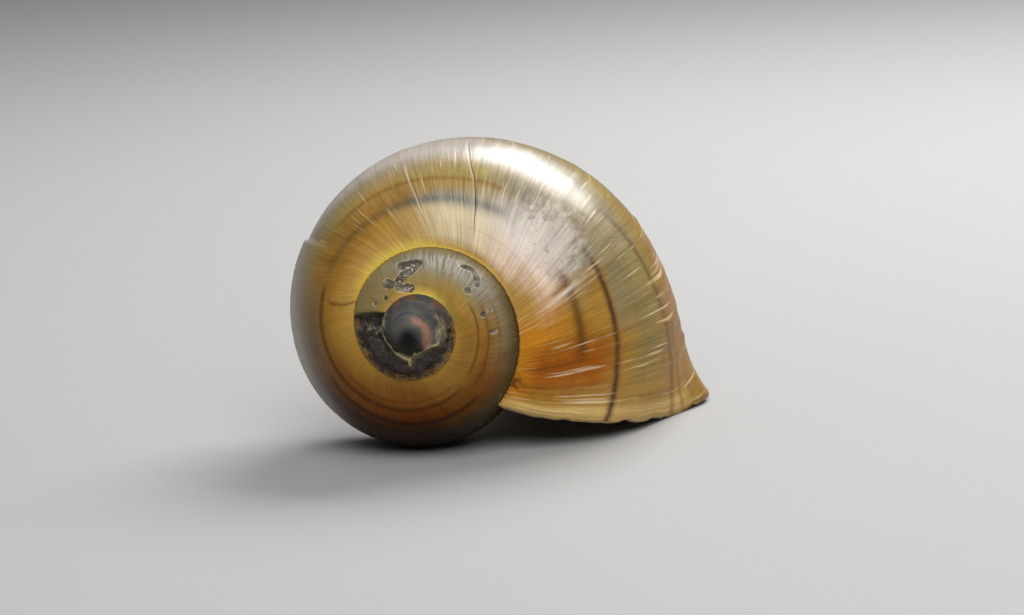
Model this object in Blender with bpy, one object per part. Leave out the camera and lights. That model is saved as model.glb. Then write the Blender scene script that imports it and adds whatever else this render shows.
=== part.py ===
"""Apple snail shell: one right-handed shell, hollow from its mouth back to the second turn.

The lip's outline is swept back round the coil axis and shrinks at a steady rate, so every turn is
a smaller copy of the one that follows it. The shell lies on its mouth, as an empty one does.
"""

import math

import bmesh
import bpy
import numpy as np
from mathutils import Euler, Matrix, Vector

MM = 0.001
TURN = 2 * math.pi

# Growth in the coil's own frame, whose Z is the coil axis and whose origin is the apex.
WIDENING_PER_TURN = 2.31
OVERLAP = math.radians(338)
APEX_TURNS = 3.0
UMBILICUS_TURNS = 2.0

# The lip from the suture outwards, down and in to the columella: radius from the axis in mm,
# angle round the axis in degrees and height in mm. The outline's two ends are worked out from it.
LIP = (
    (17.0, -38.2, -11.6),
    (21.0, -32.0, -13.8),
    (24.6, -28.0, -17.5),
    (27.2, -25.3, -22.7),
    (28.5, -22.9, -28.9),
    (27.9, -18.2, -34.9),
    (25.1, -17.0, -40.4),
    (20.6, -24.9, -44.4),
    (15.2, -33.5, -45.9),
    (10.1, -50.0, -44.7),
    (5.9, -68.0, -40.8),
    (3.7, -81.0, -35.0),
    (3.0, -88.0, -27.8),
)

# Places on the outline are counted in its points from the suture. The next turn is joined on
# between the two places of each pair.
SUTURE_JOIN = (4.22, 4.54)
COLUMELLA_JOIN = (10.82, 11.10)

# The wall at the lip, where it thickens towards the columella, and how far from each end of the
# outline its inner face takes to leave the turn before.
WALL = 1.0 * MM
COLUMELLA_WALL = 1.5 * MM
THICKENING = (9.0, 12.0)
LEAVES_SUTURE_WITHIN = 1.2
LEAVES_COLUMELLA_WITHIN = 1.6
EDGE_ROUNDING = 0.4

# The outward bend of the lip: its height, its middle and width on the outline, and its reach back.
FLARE = 4.6 * MM
FLARE_PLACE = 6.5
FLARE_WIDTH = 1.2
FLARE_REACH = math.radians(7.0)

# Damage: a ledge across the body whorl, pits on the whorl before it, and the worn-out hollow round
# the apex with the smooth dome in its middle.
LEDGE_ANGLE = math.radians(172)
LEDGE_DEPTH = 0.4 * MM
LEDGE_FADE = math.radians(25)
LEDGE_ENDS = ((1.5, 3.5), (9.0, 7.0))
PITS = (
    # turns back from the lip, place on the outline, radius and depth in mm
    (1.353, 2.2, 1.9, 0.40),
    (1.197, 3.2, 1.0, 0.30),
    (1.072, 2.4, 0.9, 0.25),
)
HOLLOW_START = math.radians(545)
HOLLOW_DEPTH = 0.6 * MM
JOIN_MARGIN = 0.7
DOME_EDGE = (3.0 * MM, 2.4 * MM)
DOME_TOP = -0.6 * MM
DOME_CURVATURE = 3.45 * MM

# The pose in which the shell lies still on its mouth, and how far its three feet are worn flat.
REST_TURN = (80.68, 1.71, -12.72)
FOOT_WEAR = 0.2 * MM

# How finely the surface is cut.
ROWS_PER_OVERLAP = 50
CAVITY_ROWS = 75
LIP_ROWS = 2
COLUMNS = (6, 1, 11, 1, 3)
JOINED_WITHIN = 1e-7

STEP = OVERLAP / ROWS_PER_OVERLAP
SHRINK = math.log(WIDENING_PER_TURN) / TURN
APEX_ROW = round(APEX_TURNS * TURN / STEP)
UMBILICUS_ROW = round(UMBILICUS_TURNS * TURN / STEP)
SUTURE_OUT, SUTURE_IN, COLUMELLA_IN, COLUMELLA_OUT, LAST = (sum(COLUMNS[: i + 1]) for i in range(5))


def grown_back(points, angle):
    """Points of the lip, moved back along the growth spiral by an angle."""
    cos, sin = np.cos(angle), np.sin(angle)
    x, y, z = points[..., 0], points[..., 1], points[..., 2]
    turned = np.stack([x * cos - y * sin, x * sin + y * cos, z + 0 * angle], axis=-1)
    return turned * np.exp(-SHRINK * angle)[..., None]


def smooth_curve(points, places):
    """A Catmull-Rom curve through the points, read at places counted in points."""
    ends = np.vstack([2 * points[0] - points[1], points, 2 * points[-1] - points[-2]])
    first = np.clip(np.floor(places).astype(int), 0, len(points) - 2)
    t = (places - first)[:, None]
    a, b, c, d = (ends[first + i] for i in range(4))
    return 0.5 * (2 * b + (c - a) * t + (2 * a - 5 * b + 4 * c - d) * t**2 + (3 * b - a - 3 * c + d) * t**3)


def eased(x, zero, one):
    """A smooth change from 0 to 1 as x goes from one value to another."""
    x = np.clip((x - zero) / (one - zero), 0, 1)
    return x * x * (3 - 2 * x)


def lip_points():
    """The outline's points with its two ends, which lie on the turn before."""
    radius, angle, height = np.array(LIP).T
    angle = np.radians(angle)
    middle = np.stack([radius * np.cos(angle), radius * np.sin(angle), height], axis=-1) * MM
    points = np.vstack([middle[0], middle, middle[-1]])
    on_turn_before = smooth_curve(points, np.array([SUTURE_JOIN[0], COLUMELLA_JOIN[1]]))
    points[[0, -1]] = grown_back(on_turn_before, np.full(2, OVERLAP))
    return points


def column_places():
    """Where the columns lie on the outline, with one column at each edge of both joins."""
    stops = (0.0, *SUTURE_JOIN, *COLUMELLA_JOIN, len(LIP) + 1.0)
    parts = [np.linspace(a, b, n, endpoint=False) for a, b, n in zip(stops, stops[1:], COLUMNS)]
    return np.append(np.concatenate(parts), stops[-1])


def outward_normals(points, places):
    """The outer face's normals along the lip, from its directions along and back from the lip."""
    small = 1e-3
    along = smooth_curve(points, places + small) - smooth_curve(points, places - small)
    on_lip = smooth_curve(points, places)
    back = grown_back(on_lip, np.full(len(places), small)) - on_lip
    normals = np.cross(along, back)
    return normals / np.linalg.norm(normals, axis=1, keepdims=True)


def inner_outline(points, places, outer, normals):
    """The outline of the inner face, whose two ends lie on the turn before."""
    thickness = WALL + (COLUMELLA_WALL - WALL) * eased(places, *THICKENING)
    inward = -normals * thickness[:, None]
    joins = smooth_curve(points, np.array([SUTURE_JOIN[1], COLUMELLA_JOIN[0]]))
    at_suture, at_columella = grown_back(joins, np.full(2, OVERLAP)) - outer[[0, -1]]
    from_suture = eased(places, 0, LEAVES_SUTURE_WITHIN)[:, None]
    from_columella = eased(places, places[-1], places[-1] - LEAVES_COLUMELLA_WITHIN)[:, None]
    inward = at_suture * (1 - from_suture) + inward * from_suture
    inward = at_columella * (1 - from_columella) + inward * from_columella
    return outer + inward


def flared(points, angle, places):
    """Points of either face, bent outwards over the last few degrees before the lip."""
    share = np.exp(-angle / FLARE_REACH) * np.exp(-(((places - FLARE_PLACE) / FLARE_WIDTH) ** 2))
    widened = 1 + FLARE * share / np.linalg.norm(points[..., :2], axis=-1)
    return points * np.stack([widened, widened, np.ones_like(widened)], axis=-1)


def damage(angle, places, outer):
    """How far the outer face stands out at one row, in metres; the joins stay where they are."""
    size = math.exp(-SHRINK * angle)
    ledge = LEDGE_DEPTH * math.exp((angle - LEDGE_ANGLE) / LEDGE_FADE) if angle < LEDGE_ANGLE else 0
    raised = -ledge * eased(places, *LEDGE_ENDS[0]) * eased(places, *LEDGE_ENDS[1])
    here = grown_back(outer, np.full(len(places), angle))
    for turns_back, place, radius, depth in PITS:
        on_lip = np.array([np.interp(place, places, axis) for axis in outer.T])
        distance = np.linalg.norm(here - grown_back(on_lip, turns_back * TURN), axis=1)
        raised = raised - depth * MM * eased(distance, radius * MM, radius * MM / 3)
    if angle > HOLLOW_START:
        raised = raised - HOLLOW_DEPTH
    if angle > OVERLAP - STEP / 2:
        start, end = 0, SUTURE_JOIN[0]
        raised = raised * eased(places, start, start + JOIN_MARGIN) * eased(places, end, end - JOIN_MARGIN)
    return raised / size


def domed(points):
    """Points near the apex, moved up or down to the smooth dome that wear has left there."""
    radius = np.linalg.norm(points[..., :2], axis=-1)
    drop = DOME_CURVATURE - np.sqrt(np.maximum(DOME_CURVATURE**2 - radius**2, 0))
    share = eased(radius, *DOME_EDGE)
    points[..., 2] += (DOME_TOP - drop - points[..., 2]) * share
    return points


def shell_grid():
    """Rows of points: up the inner face to the lip, round the lip, and back over the outer face."""
    places = column_places()
    points = lip_points()
    outer = smooth_curve(points, places)
    normals = outward_normals(points, places)
    inner = inner_outline(points, places, outer, normals)
    rows = []

    for row in range(CAVITY_ROWS, -1, -1):
        angle = np.full(len(places), row * STEP)
        rows.append(flared(grown_back(inner, angle), angle, places))
    end_of_cavity = rows[0].mean(axis=0)
    rows[0][:] = end_of_cavity

    thickness = np.linalg.norm(outer - inner, axis=1)
    for i in range(1, LIP_ROWS + 1):
        share = i / (LIP_ROWS + 1)
        across = inner + (outer - inner) * share
        bulge = EDGE_ROUNDING * thickness * math.sin(math.pi * share)
        forward = -bulge / np.linalg.norm(across[:, :2], axis=1)
        across[[0, -1]] = (inner if share < 0.5 else outer)[[0, -1]]
        forward[[0, -1]] = 0
        rows.append(flared(grown_back(across, forward), np.zeros(len(places)), places))

    apex = domed(np.zeros(3))
    top_of_umbilicus = np.array([0, 0, outer[-1][2] * math.exp(-SHRINK * UMBILICUS_ROW * STEP)])
    for row in range(APEX_ROW + 1):
        angle = np.full(len(places), row * STEP)
        worn = outer + normals * damage(row * STEP, places, outer)[:, None]
        across = flared(grown_back(worn, angle), angle, places)
        if row > ROWS_PER_OVERLAP:
            across[: SUTURE_IN] = domed(across[: SUTURE_IN])
        if row >= APEX_ROW:
            across[: SUTURE_OUT + 1] = apex
        if row + ROWS_PER_OVERLAP >= APEX_ROW:
            across[0] = apex
        if row >= CAVITY_ROWS + ROWS_PER_OVERLAP:
            across[SUTURE_IN : COLUMELLA_IN + 1] = end_of_cavity
        if row >= UMBILICUS_ROW:
            across[COLUMELLA_OUT:] = top_of_umbilicus
        if row + ROWS_PER_OVERLAP >= UMBILICUS_ROW:
            across[LAST] = top_of_umbilicus
        rows.append(across)
    return np.array(rows)


def joined_mesh(grid):
    """The grid as one closed surface, left open only where the next turn is joined on."""
    rows, columns = grid.shape[:2]
    first_joined_row = CAVITY_ROWS + 1 + LIP_ROWS + ROWS_PER_OVERLAP
    faces = []
    for row in range(rows - 1):
        for column in range(columns - 1):
            if row >= first_joined_row and column in (SUTURE_OUT, COLUMELLA_IN):
                continue
            corner = row * columns + column
            faces.append((corner, corner + columns, corner + columns + 1, corner + 1))
    mesh = bpy.data.meshes.new("shell")
    mesh.from_pydata(grid.reshape(-1, 3).tolist(), [], faces)
    shape = bmesh.new()
    shape.from_mesh(mesh)
    bmesh.ops.remove_doubles(shape, verts=shape.verts, dist=JOINED_WITHIN)
    bmesh.ops.delete(shape, geom=[v for v in shape.verts if not v.link_faces], context="VERTS")
    bmesh.ops.recalc_face_normals(shape, faces=shape.faces)
    bmesh.ops.triangulate(shape, faces=shape.faces)
    shape.to_mesh(mesh)
    shape.free()
    return mesh


def laid_down(mesh):
    """Turn the mesh to its pose of rest, over the middle of its box, and wear its feet flat."""
    mesh.transform(Euler([math.radians(a) for a in REST_TURN]).to_matrix().to_4x4())
    corners = np.array([v.co for v in mesh.vertices])
    low, high = corners.min(axis=0), corners.max(axis=0)
    middle = (low + high) / 2
    mesh.transform(Matrix.Translation(-Vector((middle[0], middle[1], low[2] + FOOT_WEAR))))
    for vertex in mesh.vertices:
        vertex.co.z = max(vertex.co.z, 0)


def periostracum():
    """The shell's glossy olive-brown skin."""
    material = bpy.data.materials.new("periostracum")
    material.use_nodes = True
    surface = material.node_tree.nodes["Principled BSDF"]
    surface.inputs["Base Color"].default_value = (0.34, 0.19, 0.05, 1)
    surface.inputs["Roughness"].default_value = 0.35
    surface.inputs["Metallic"].default_value = 0
    return material


def build():
    for old in list(bpy.data.objects):
        bpy.data.objects.remove(old)
    mesh = joined_mesh(shell_grid())
    laid_down(mesh)
    mesh.shade_smooth()
    mesh.materials.append(periostracum())
    shell = bpy.data.objects.new("shell", mesh)
    bpy.context.scene.collection.objects.link(shell)


build()
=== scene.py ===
"""Looks of the apple snail shell: grown by one rule from its lip, with its skin, lining and wear.

The lip's outline is drawn once. Geometry Nodes sweep it back round the coil axis, shrink it at the
shell's own rate, wear it, and weld every turn to the one before. Materials read two coordinates
that go with the growth: how many turns back from the lip a point lies, and its place on the lip.
"""

import math

import bpy
import numpy as np
from mathutils import Matrix, Vector


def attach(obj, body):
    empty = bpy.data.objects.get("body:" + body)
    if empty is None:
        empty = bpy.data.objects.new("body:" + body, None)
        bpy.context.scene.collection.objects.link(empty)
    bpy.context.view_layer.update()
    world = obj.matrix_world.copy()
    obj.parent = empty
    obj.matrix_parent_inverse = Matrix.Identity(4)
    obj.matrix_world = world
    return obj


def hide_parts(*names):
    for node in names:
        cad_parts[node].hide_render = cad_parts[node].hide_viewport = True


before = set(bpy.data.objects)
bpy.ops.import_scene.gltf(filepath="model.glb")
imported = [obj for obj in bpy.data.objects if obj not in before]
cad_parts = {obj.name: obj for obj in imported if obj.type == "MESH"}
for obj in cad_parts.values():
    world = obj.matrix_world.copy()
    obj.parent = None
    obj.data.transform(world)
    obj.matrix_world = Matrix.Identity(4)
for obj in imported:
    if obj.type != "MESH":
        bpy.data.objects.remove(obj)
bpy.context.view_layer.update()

MM = 0.001
TURN = 2 * math.pi

# Growth in the coil's own frame, whose Z is the coil axis and whose origin is the apex.
WIDENING_PER_TURN = 2.31
OVERLAP = math.radians(338)
APEX_TURNS = 3.0
CAVITY_TURNS = 1.4
UMBILICUS_TURNS = 2.0

# The lip from the suture outwards, down and in to the columella: radius from the axis in mm,
# angle round the axis in degrees and height in mm. The outline's two ends are worked out from it.
LIP = (
    (17.0, -38.2, -11.6),
    (21.0, -32.0, -13.8),
    (24.6, -28.0, -17.5),
    (27.2, -25.3, -22.7),
    (28.5, -22.9, -28.9),
    (27.9, -18.2, -34.9),
    (25.1, -17.0, -40.4),
    (20.6, -24.9, -44.4),
    (15.2, -33.5, -45.9),
    (10.1, -50.0, -44.7),
    (5.9, -68.0, -40.8),
    (3.7, -81.0, -35.0),
    (3.0, -88.0, -27.8),
)
PLACES = len(LIP) + 1.0
# Radius in mm that turns angles at the lip into lengths for growth lines.
LIP_RADIUS = 26.0
SUTURE_JOIN = (4.22, 4.54)
COLUMELLA_JOIN = (10.82, 11.10)
WALL = 1.0 * MM
COLUMELLA_WALL = 1.5 * MM
THICKENING = (9.0, 12.0)
LEAVES_SUTURE_WITHIN = 1.2
LEAVES_COLUMELLA_WITHIN = 1.6

# Where the shell lies: the turn that puts it on its mouth, and the apex in that pose.
REST_TURN = tuple(math.radians(angle) for angle in (80.68, 1.71, -12.72))
APEX_AT_REST = (-0.011536, -0.020568, 0.016877)

# How finely the surface is cut.
ROWS_PER_OVERLAP = 268
EDGE_ROWS = 2
COLUMNS = (34, 1, 42, 1, 10)
STEP = OVERLAP / ROWS_PER_OVERLAP
SHRINK = math.log(WIDENING_PER_TURN) / TURN
APEX_ROW = round(APEX_TURNS * TURN / STEP)
CAVITY_ROWS = round(CAVITY_TURNS * TURN / STEP)
UMBILICUS_ROW = round(UMBILICUS_TURNS * TURN / STEP)
SUTURE_OUT, SUTURE_IN, COLUMELLA_IN, COLUMELLA_OUT, LAST = (sum(COLUMNS[: i + 1]) for i in range(5))

# Pits worn through the skin of the turn before the last: their two ends as degrees back from the
# lip and place on the outline, and their radius in mm.
PITS = (
    ((490.0, 2.60), (477.0, 2.50), 0.62),
    ((483.0, 2.05), (491.5, 1.75), 0.55),
    ((491.5, 1.75), (501.5, 1.40), 0.48),
    ((514.0, 1.75), (512.0, 1.50), 0.46),
    ((507.5, 0.85), (501.0, 0.60), 0.36),
    ((501.0, 0.60), (493.5, 0.45), 0.40),
    ((530.0, 0.75), (530.1, 0.76), 0.20),
    ((542.0, 1.30), (542.1, 1.31), 0.18),
    ((440.5, 3.10), (433.5, 3.35), 0.28),
    ((433.5, 3.35), (427.5, 3.05), 0.30),
    ((427.5, 3.05), (424.5, 2.70), 0.36),
    ((427.5, 1.90), (426.5, 1.92), 0.34),
    ((404.0, 1.95), (403.5, 2.00), 0.28),
    ((403.5, 2.50), (403.4, 2.51), 0.13),
    ((389.0, 2.20), (388.0, 2.45), 0.17),
)


class Flow:
    """What comes out of a socket. Sums on it add the nodes that work them out."""

    def __init__(self, wires, socket):
        self.wires = wires
        self.socket = socket

    def __add__(self, other):
        return self.wires.sum("ADD", self, other)

    def __radd__(self, other):
        return self.wires.sum("ADD", other, self)

    def __sub__(self, other):
        return self.wires.sum("SUBTRACT", self, other)

    def __rsub__(self, other):
        return self.wires.sum("SUBTRACT", other, self)

    def __mul__(self, other):
        return self.wires.sum("MULTIPLY", self, other)

    def __rmul__(self, other):
        return self.wires.sum("MULTIPLY", other, self)

    def __truediv__(self, other):
        return self.wires.sum("DIVIDE", self, other)

    def __rtruediv__(self, other):
        return self.wires.sum("DIVIDE", other, self)

    def __lt__(self, other):
        return self.wires.sum("LESS_THAN", self, other)

    def __gt__(self, other):
        return self.wires.sum("GREATER_THAN", self, other)


class Wires:
    """A node tree, with short ways to add nodes and join them up."""

    def __init__(self, tree):
        self.tree = tree

    def feed(self, socket, value):
        if isinstance(value, Flow):
            self.tree.links.new(value.socket, socket)
        else:
            socket.default_value = value

    def node(self, kind, settings=None, **inputs):
        """Add a node; inputs are named with underscores for spaces, and only live ones are fed."""
        node = self.tree.nodes.new(kind)
        for name, value in (settings or {}).items():
            setattr(node, name, value)
        for name, value in inputs.items():
            named = [s for s in node.inputs if s.name == name.replace("_", " ") and s.enabled]
            self.feed(named[0], value)
        return node

    def out(self, node, name=None):
        live = [s for s in node.outputs if s.enabled and (name is None or s.name == name)]
        return Flow(self, live[0])

    def sum(self, operation, *values, clamp=False):
        node = self.tree.nodes.new("ShaderNodeMath")
        node.operation = operation
        node.use_clamp = clamp
        for socket, value in zip(node.inputs, values):
            self.feed(socket, value)
        return Flow(self, node.outputs[0])

    def vector(self, operation, *values, scale=None):
        node = self.tree.nodes.new("ShaderNodeVectorMath")
        node.operation = operation
        for socket, value in zip(node.inputs, values):
            self.feed(socket, value)
        if scale is not None:
            self.feed(node.inputs["Scale"], scale)
        return self.out(node)

    def eased(self, value, zero, one, low=0.0, high=1.0):
        """A smooth change from one number to another as a value goes between two limits."""
        settings = {"interpolation_type": "SMOOTHSTEP"}
        node = self.node("ShaderNodeMapRange", settings, Value=value, From_Min=zero, From_Max=one)
        self.feed(node.inputs["To Min"], low)
        self.feed(node.inputs["To Max"], high)
        return self.out(node, "Result")

    def exp(self, value):
        return self.sum("EXPONENT", value)

    def hump(self, value, middle, width):
        """A bell-shaped bump of height 1."""
        away = self.sum("DIVIDE", value - middle, width)
        return self.exp(away * away * -1.0)

    def clear_of(self, a, b):
        return self.sum("MAXIMUM", a, b)

    def xyz(self, x=0.0, y=0.0, z=0.0):
        return self.out(self.node("ShaderNodeCombineXYZ", None, X=x, Y=y, Z=z))

    def parts(self, vector):
        node = self.node("ShaderNodeSeparateXYZ", None, Vector=vector)
        return [Flow(self, socket) for socket in node.outputs]

    def turned(self, vector, angle):
        """A vector turned round Z."""
        settings = {"rotation_type": "Z_AXIS"}
        return self.out(self.node("ShaderNodeVectorRotate", settings, Vector=vector, Angle=angle))

    def noise(self, vector, scale, detail=2.0, roughness=0.5, distortion=0.0):
        settings = {"noise_dimensions": "3D"}
        node = self.node("ShaderNodeTexNoise", settings, Vector=vector, Scale=scale)
        self.feed(node.inputs["Detail"], detail)
        self.feed(node.inputs["Roughness"], roughness)
        self.feed(node.inputs["Distortion"], distortion)
        return Flow(self, node.outputs[0])

    def cells(self, vector, scale, feature):
        """Broken plates: the distance to the nearest crack, or a steady tone for each plate."""
        node = self.node("ShaderNodeTexVoronoi", {"feature": feature}, Vector=vector, Scale=scale)
        if feature == "F1":
            return self.parts(Flow(self, node.outputs["Color"]))[0]
        return Flow(self, node.outputs["Distance"])

    def curve(self, value, points):
        """A curve through given points, read between 0 and 1 both ways."""
        node = self.tree.nodes.new("ShaderNodeFloatCurve")
        line = node.mapping.curves[0]
        line.points[0].location = points[0]
        line.points[-1].location = points[-1]
        for point in points[1:-1]:
            line.points.new(*point)
        node.mapping.update()
        self.feed(node.inputs["Value"], value)
        return Flow(self, node.outputs[0])

    def mixed(self, share, a, b, kind="RGBA"):
        node = self.tree.nodes.new("ShaderNodeMix")
        node.data_type = kind
        suffix = {"RGBA": "_Color", "FLOAT": "_Float", "VECTOR": "_Vector"}[kind]
        ports = {s.identifier: s for s in node.inputs}
        self.feed(ports["Factor_Float"], share)
        self.feed(ports["A" + suffix], a)
        self.feed(ports["B" + suffix], b)
        return Flow(self, {s.identifier: s for s in node.outputs}["Result" + suffix])

    def group(self, tree, **inputs):
        node = self.tree.nodes.new("ShaderNodeGroup")
        node.node_tree = tree
        for name, value in inputs.items():
            self.feed(node.inputs[name.replace("_", " ")], value)
        return node


def grown_back(points, angle):
    """Points of the lip, moved back along the growth spiral by an angle."""
    cos, sin = np.cos(angle), np.sin(angle)
    x, y, z = points[..., 0], points[..., 1], points[..., 2]
    turned = np.stack([x * cos - y * sin, x * sin + y * cos, z + 0 * angle], axis=-1)
    return turned * np.exp(-SHRINK * angle)[..., None]


def smooth_curve(points, places):
    """A Catmull-Rom curve through the points, read at places counted in points."""
    ends = np.vstack([2 * points[0] - points[1], points, 2 * points[-1] - points[-2]])
    first = np.clip(np.floor(places).astype(int), 0, len(points) - 2)
    t = (places - first)[:, None]
    a, b, c, d = (ends[first + i] for i in range(4))
    linear, squared, cubed = c - a, 2 * a - 5 * b + 4 * c - d, 3 * b - a - 3 * c + d
    return 0.5 * (2 * b + linear * t + squared * t**2 + cubed * t**3)


def eased(x, zero, one):
    """A smooth change from 0 to 1 as x goes from one value to another."""
    x = np.clip((x - zero) / (one - zero), 0, 1)
    return x * x * (3 - 2 * x)


def lip_points():
    """The outline's points with its two ends, which lie on the turn before."""
    radius, angle, height = np.array(LIP).T
    angle = np.radians(angle)
    middle = np.stack([radius * np.cos(angle), radius * np.sin(angle), height], axis=-1) * MM
    points = np.vstack([middle[0], middle, middle[-1]])
    on_turn_before = smooth_curve(points, np.array([SUTURE_JOIN[0], COLUMELLA_JOIN[1]]))
    points[[0, -1]] = grown_back(on_turn_before, np.full(2, OVERLAP))
    return points


def column_places():
    """Where the columns lie on the outline, with one column at each edge of both joins."""
    stops = (0.0, *SUTURE_JOIN, *COLUMELLA_JOIN, PLACES)
    parts = [np.linspace(a, b, n, endpoint=False) for a, b, n in zip(stops, stops[1:], COLUMNS)]
    return np.append(np.concatenate(parts), stops[-1])


def outward_normals(points, places):
    """The outer face's normals along the lip, from its directions along and back from the lip."""
    small = 1e-3
    along = smooth_curve(points, places + small) - smooth_curve(points, places - small)
    on_lip = smooth_curve(points, places)
    back = grown_back(on_lip, np.full(len(places), small)) - on_lip
    normals = np.cross(along, back)
    return normals / np.linalg.norm(normals, axis=1, keepdims=True)


def inner_outline(points, places, outer, normals):
    """The outline of the inner face, whose two ends lie on the turn before."""
    thickness = WALL + (COLUMELLA_WALL - WALL) * eased(places, *THICKENING)
    inward = -normals * thickness[:, None]
    joins = smooth_curve(points, np.array([SUTURE_JOIN[1], COLUMELLA_JOIN[0]]))
    at_suture, at_columella = grown_back(joins, np.full(2, OVERLAP)) - outer[[0, -1]]
    from_suture = eased(places, 0, LEAVES_SUTURE_WITHIN)[:, None]
    from_columella = eased(places, places[-1], places[-1] - LEAVES_COLUMELLA_WITHIN)[:, None]
    inward = at_suture * (1 - from_suture) + inward * from_suture
    inward = at_columella * (1 - from_columella) + inward * from_columella
    return outer + inward


def mesh_object(name, corners, edges=()):
    mesh = bpy.data.meshes.new(name)
    mesh.from_pydata([tuple(c) for c in corners], edges, [])
    made = bpy.data.objects.new(name, mesh)
    bpy.context.scene.collection.objects.link(made)
    return made


def lip_outline():
    """The lip's outer outline as points that carry their place, their normal and the inner face."""
    places = column_places()
    points = lip_points()
    outer = smooth_curve(points, places)
    normals = outward_normals(points, places)
    inner = inner_outline(points, places, outer, normals)
    outline = mesh_object("lip_outline", outer)
    for name, values in (("place", places), ("inner", inner), ("outward", normals)):
        kind, field = ("FLOAT", "value") if values.ndim == 1 else ("FLOAT_VECTOR", "vector")
        layer = outline.data.attributes.new(name, kind, "POINT")
        layer.data.foreach_set(field, np.ravel(values).astype(np.float32))
    return outline, outer, inner


def pit_lines():
    """The pits' middle lines as loose edges in the coil's frame."""
    ends = np.array([end for pit in PITS for end in pit[:2]])
    on_lip = smooth_curve(lip_points(), ends[:, 1])
    corners = grown_back(on_lip, np.radians(ends[:, 0]))
    lines = mesh_object("pit_lines", corners, [(i, i + 1) for i in range(0, len(corners), 2)])
    radius = lines.data.attributes.new("radius", "FLOAT", "EDGE")
    radius.data.foreach_set("value", [pit[2] * MM for pit in PITS])
    return lines


# Sizes of the swept shell, as the tree's named inputs.
GROWTH = {
    "Widening per Turn": WIDENING_PER_TURN,
    "Overlap": OVERLAP,
    "Rows per Overlap": ROWS_PER_OVERLAP,
    "Cavity Rows": CAVITY_ROWS,
    "Edge Rows": EDGE_ROWS,
    "Apex Row": APEX_ROW,
    "Umbilicus Row": UMBILICUS_ROW,
    "Edge Rounding": 0.4,
    "Flare": 4.6 * MM,
    "Flare Place": 6.5,
    "Flare Width": 1.2,
    "Flare Reach": math.radians(7.0),
    "Ledge Angle": math.radians(172),
    "Ledge Depth": 0.4 * MM,
    "Ledge Fade": math.radians(25),
    "Cut Angle": math.radians(554.5),
    "Trough Depth": 0.6 * MM,
    "Broken Ledge Height": 0.22 * MM,
    "Pit Depth": 0.30 * MM,
    "Ridge Height": 0.05 * MM,
    "Swell Height": 0.12 * MM,
    "Chip Depth": math.radians(1.1),
    "Dome Top": -0.6 * MM,
    "Dome Curvature": 3.45 * MM,
    "Knob Height": 0.26 * MM,
    "Knob Radius": 0.85 * MM,
    "Seed": 4.0,
}
# Ridges where growth had paused: degrees back from the lip, and their height in mm.
RESTS = (
    (3.0, 0.10),
    (13.5, 0.16),
    (18.3, 0.10),
    (23.0, 0.16),
    (32.6, 0.10),
    (47.5, 0.14),
    (71.0, 0.08),
    (126.0, 0.10),
)
REST_WIDTH = math.radians(0.9)

# The knob on the dome, as seen along the coil axis.
KNOB_AT = (0.35 * MM, -0.55 * MM)

# The broken ledge round the dome: radius over LEDGE_RADIUS, in mm, against the angle round the apex
# over a turn, from the side away from the lip. The ledge stands only over part of the turn.
LEDGE_LINE = (
    (0.00, 0.555),
    (0.045, 0.545),
    (0.11, 0.520),
    (0.16, 0.545),
    (0.205, 0.570),
    (0.238, 0.600),
    (0.250, 0.700),
    (0.262, 0.590),
    (0.300, 0.500),
    (0.385, 0.530),
    (0.435, 0.625),
    (0.500, 0.610),
    (0.570, 0.590),
    (0.640, 0.570),
    (1.00, 0.555),
)
LEDGE_RADIUS = 6.0


def polar(w, position):
    """Both coordinates across the coil axis, distance from it, and angle as a share of a turn."""
    x, y, _ = w.parts(position)
    away = w.sum("SQRT", x * x + y * y)
    return x, y, away, w.sum("ARCTAN2", y, x) / TURN + 0.5


def beyond_ledge(w, away, round_share, mm):
    """How far a point lies outside the broken ledge's line, with the length of a mm given."""
    return away - w.curve(round_share, LEDGE_LINE) * (LEDGE_RADIUS * mm)


def open_side(w, round_share):
    """Where round the apex the top is broken open."""
    return w.clear_of(w.eased(round_share, 0.60, 0.52), w.eased(round_share, 0.90, 0.92))


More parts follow.
